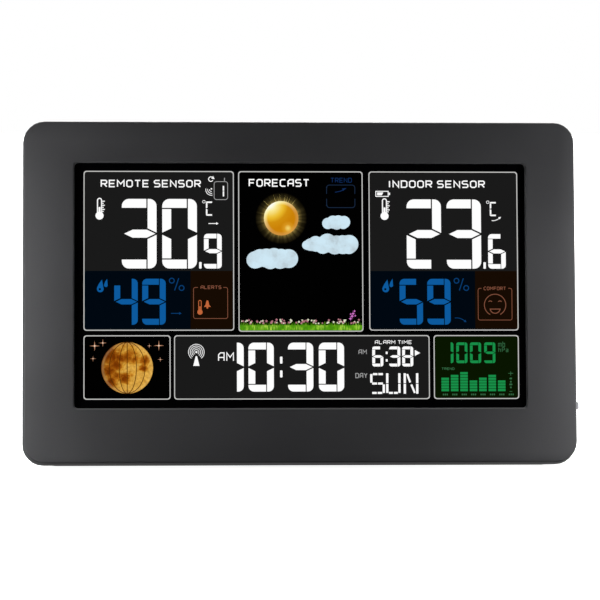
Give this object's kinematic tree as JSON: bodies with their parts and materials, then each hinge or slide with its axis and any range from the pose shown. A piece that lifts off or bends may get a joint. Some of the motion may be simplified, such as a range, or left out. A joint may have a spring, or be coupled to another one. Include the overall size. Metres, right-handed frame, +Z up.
{
  "type": "home weather station",
  "caption": "Desk weather station: a wide colour display in a black case that leans back on a fold-out stand, with rear keys and a battery bay.",
  "frame": {"origin": "bottom centre of the whole object's box, on the desk", "axes": "+Z up; +X to the right seen from the front; +Y from the display towards the back"},
  "size_m": [0.2071, 0.0655, 0.1272],
  "materials": {
    "case_plastic": "satin black moulded ABS with a fine texture",
    "key_plastic": "moulded black ABS, smoother than the case",
    "display_glass": "dark display glass",
    "display_polariser": "anti-glare polariser film, nearly black",
    "display_film": "printed colour film",
    "diffuser": "milky sheet",
    "light_guide": "clear acrylic",
    "reflector": "silvered sheet",
    "frame_plastic": "moulded white ABS",
    "zebra_rubber": "layered conductive rubber",
    "board": "green solder mask on glass epoxy",
    "component": "black epoxy and moulded plastic",
    "sensor_plastic": "white moulded sensor housing",
    "plated_steel": "zinc plated",
    "copper": "enamelled winding on ferrite",
    "cell_jacket": "printed sleeve on a cell; aluminium gives the mass",
    "rubber": "matt black rubber"
  },
  "bodies": {
    "case": {"backlight_strip": "board", "battery_cell_1": "cell_jacket", "battery_cell_2": "cell_jacket", "battery_cell_3": "cell_jacket", "battery_contact_1": "plated_steel", "battery_contact_2": "plated_steel", "battery_contact_3": "plated_steel", "battery_spring_1": "plated_steel", "battery_spring_2": "plated_steel", "battery_spring_3": "plated_steel", "buzzer": "component", "capacitor_1": "component", "capacitor_2": "component", "case_screw_1": "plated_steel", "case_screw_2": "plated_steel", "case_screw_3": "plated_steel", "case_screw_4": "plated_steel", "chip_blob": "component", "clock_crystal": "plated_steel", "colour_film": "display_film", "diffuser_sheet": "diffuser", "display_frame": "frame_plastic", "foot_left": "rubber", "foot_right": "rubber", "front_bezel": "case_plastic", "humidity_sensor": "sensor_plastic", "key_switch_1": "component", "key_switch_2": "component", "key_switch_3": "component", "key_switch_4": "component", "key_switch_5": "component", "key_switch_6": "component", "lcd_front_glass": "display_glass", "lcd_polariser": "display_polariser", "lcd_rear_glass": "display_glass", "light_guide": "light_guide", "main_board": "board", "power_socket": "component", "pressure_sensor": "plated_steel", "radio_antenna": "copper", "radio_module": "board", "rear_cover": "case_plastic", "reflector_sheet": "reflector", "slide_switch": "plated_steel", "snooze_switch": "component", "stand_pin": "plated_steel", "zebra_strip_lower": "zebra_rubber", "zebra_strip_upper": "zebra_rubber"},
    "stand_leg": {"stand": "case_plastic", "stand_foot_pad": "rubber"},
    "door": {"battery_door": "case_plastic"},
    "snooze": {"snooze_bar": "key_plastic"},
    "side_slider": {"slide_knob": "key_plastic"},
    "key_body_1": {"key_1": "key_plastic"},
    "key_body_2": {"key_2": "key_plastic"},
    "key_body_3": {"key_3": "key_plastic"},
    "key_body_4": {"key_4": "key_plastic"},
    "key_body_5": {"key_5": "key_plastic"},
    "key_body_6": {"key_6": "key_plastic"}
  },
  "joints": [
    {"name": "stand_fold", "type": "hinge", "parent": "case", "child": "stand_leg", "pos_m": [0, -0.00907, 0.00459], "axis": [1, 0, 0], "range_deg": [0, 81.4]},
    {"name": "battery_door_hinge", "type": "hinge", "parent": "case", "child": "door", "pos_m": [-0.065, -0.00008, 0.04061], "axis": [-1, 0, 0], "range_deg": [0, 70]},
    {"name": "snooze_press", "type": "slide", "parent": "case", "child": "snooze", "axis": [0, -0.2079, -0.9781], "range_m": [0, 0.0008], "stiffness_N_per_m": 600},
    {"name": "side_switch_slide", "type": "slide", "parent": "case", "child": "side_slider", "axis": [0, 0.2079, 0.9781], "range_m": [-0.002, 0.002]},
    {"name": "key_1_press", "type": "slide", "parent": "case", "child": "key_body_1", "axis": [0, -0.9781, 0.2079], "range_m": [0, 0.0008], "stiffness_N_per_m": 600},
    {"name": "key_2_press", "type": "slide", "parent": "case", "child": "key_body_2", "axis": [0, -0.9781, 0.2079], "range_m": [0, 0.0008], "stiffness_N_per_m": 600},
    {"name": "key_3_press", "type": "slide", "parent": "case", "child": "key_body_3", "axis": [0, -0.9781, 0.2079], "range_m": [0, 0.0008], "stiffness_N_per_m": 600},
    {"name": "key_4_press", "type": "slide", "parent": "case", "child": "key_body_4", "axis": [0, -0.9781, 0.2079], "range_m": [0, 0.0008], "stiffness_N_per_m": 600},
    {"name": "key_5_press", "type": "slide", "parent": "case", "child": "key_body_5", "axis": [0, -0.9781, 0.2079], "range_m": [0, 0.0008], "stiffness_N_per_m": 600},
    {"name": "key_6_press", "type": "slide", "parent": "case", "child": "key_body_6", "axis": [0, -0.9781, 0.2079], "range_m": [0, 0.0008], "stiffness_N_per_m": 600}
  ]
}
